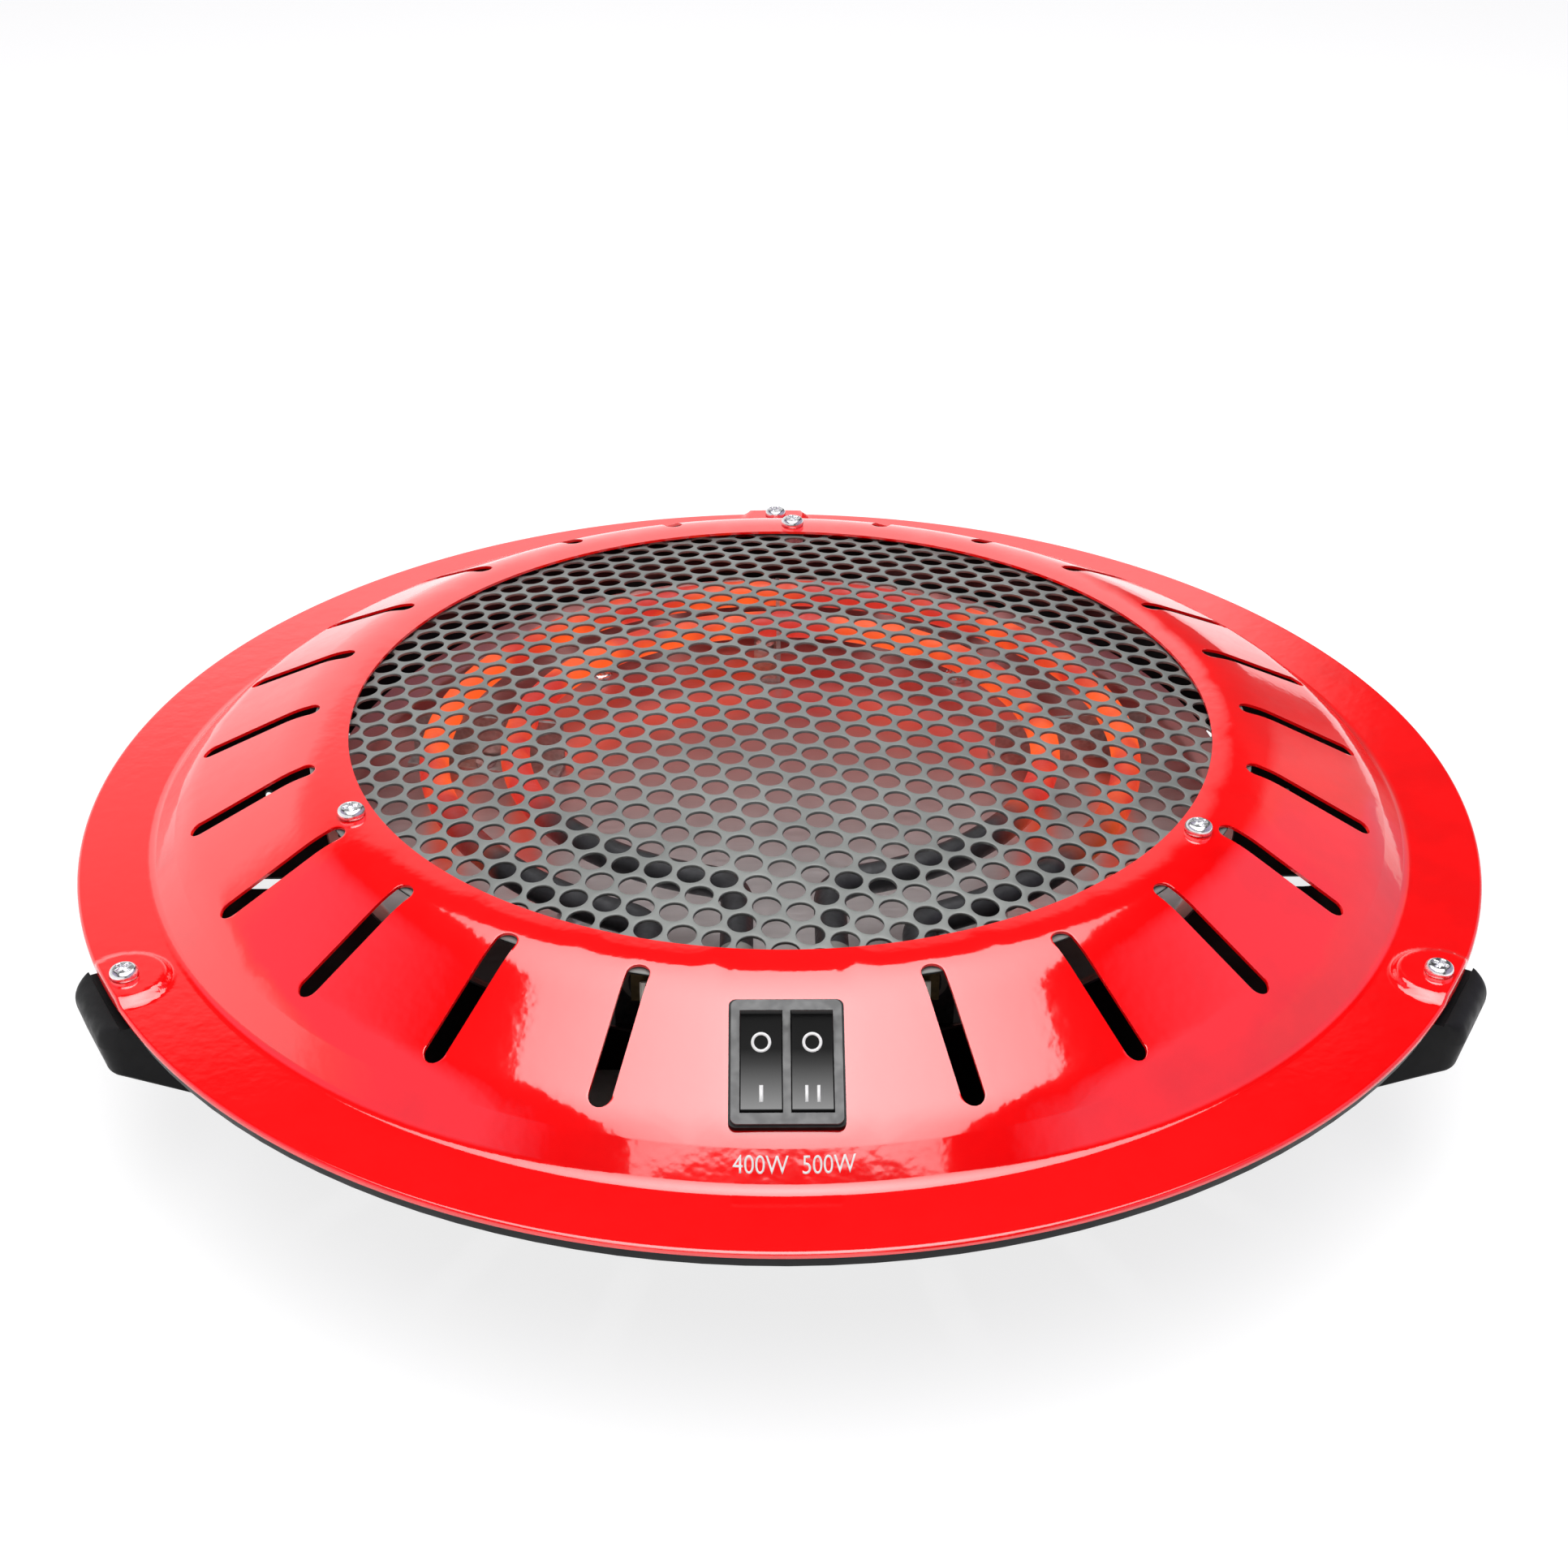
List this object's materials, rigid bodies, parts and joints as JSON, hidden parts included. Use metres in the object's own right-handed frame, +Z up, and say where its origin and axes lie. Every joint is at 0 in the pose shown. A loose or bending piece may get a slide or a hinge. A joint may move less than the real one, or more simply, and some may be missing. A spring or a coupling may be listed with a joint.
{
  "type": "electric brazier",
  "caption": "Low round electric heater with a domed perforated grille, ring elements, a sheet cover with air slots, feet and rocker switches.",
  "frame": {"origin": "on the brazier's axis, in the plane of the floor that its three feet stand on", "axes": "+Z up along the brazier's axis, -Y towards the front where the switch lies, +X to the right seen from the front"},
  "size_m": [0.38, 0.3876, 0.0878],
  "materials": {
    "top_cover": "gloss",
    "grille": "satin",
    "inner_screws": "bright zinc",
    "inner_nuts": "bright zinc",
    "outer_screws": "bright zinc",
    "base_pan": "satin",
    "reflector": "bright",
    "reflector_spacers": "satin",
    "reflector_screws": "bright zinc",
    "reflector_nuts": "bright zinc",
    "inner_element": "glowing",
    "outer_element": "glowing",
    "element_clips": "satin",
    "clip_rivets": "satin",
    "terminal_bracket": "satin",
    "bracket_rivets": "satin",
    "element_bushings": "matte",
    "element_terminals": "satin",
    "thermal_cutout": "satin",
    "cutout_rivets": "satin",
    "switch_housing": "satin",
    "left_rocker": "gloss",
    "right_rocker": "gloss",
    "switch_tabs": "satin",
    "terminal_block": "matte",
    "terminal_screws": "satin",
    "earth_screw": "bright zinc",
    "cable_gland": "matte",
    "gland_nut": "matte",
    "internal_wires": "matte",
    "foot_left": "satin",
    "foot_right": "satin",
    "foot_back": "satin",
    "foot_pads": "matte"
  },
  "bodies": {
    "heater": {"top_cover": "top_cover", "grille": "grille", "inner_screws": "inner_screws", "inner_nuts": "inner_nuts", "outer_screws": "outer_screws", "base_pan": "base_pan", "reflector": "reflector", "reflector_spacers": "reflector_spacers", "reflector_screws": "reflector_screws", "reflector_nuts": "reflector_nuts", "inner_element": "inner_element", "outer_element": "outer_element", "element_clips": "element_clips", "clip_rivets": "clip_rivets", "terminal_bracket": "terminal_bracket", "bracket_rivets": "bracket_rivets", "element_bushings": "element_bushings", "element_terminals": "element_terminals", "thermal_cutout": "thermal_cutout", "cutout_rivets": "cutout_rivets", "switch_housing": "switch_housing", "switch_tabs": "switch_tabs", "terminal_block": "terminal_block", "terminal_screws": "terminal_screws", "earth_screw": "earth_screw", "cable_gland": "cable_gland", "gland_nut": "gland_nut", "internal_wires": "internal_wires", "foot_left": "foot_left", "foot_right": "foot_right", "foot_back": "foot_back", "foot_pads": "foot_pads"},
    "left_rocker": {"left_rocker": "left_rocker"},
    "right_rocker": {"right_rocker": "right_rocker"}
  },
  "joints": [
    {"name": "left_rocker_tip", "type": "hinge", "parent": "heater", "child": "left_rocker", "pos_m": [-0.00559, -0.14744, 0.07155], "axis": [1, 0, 0], "range_deg": [-22, 0]},
    {"name": "right_rocker_tip", "type": "hinge", "parent": "heater", "child": "right_rocker", "pos_m": [0.00559, -0.14744, 0.07155], "axis": [1, 0, 0], "range_deg": [-22, 0]}
  ]
}
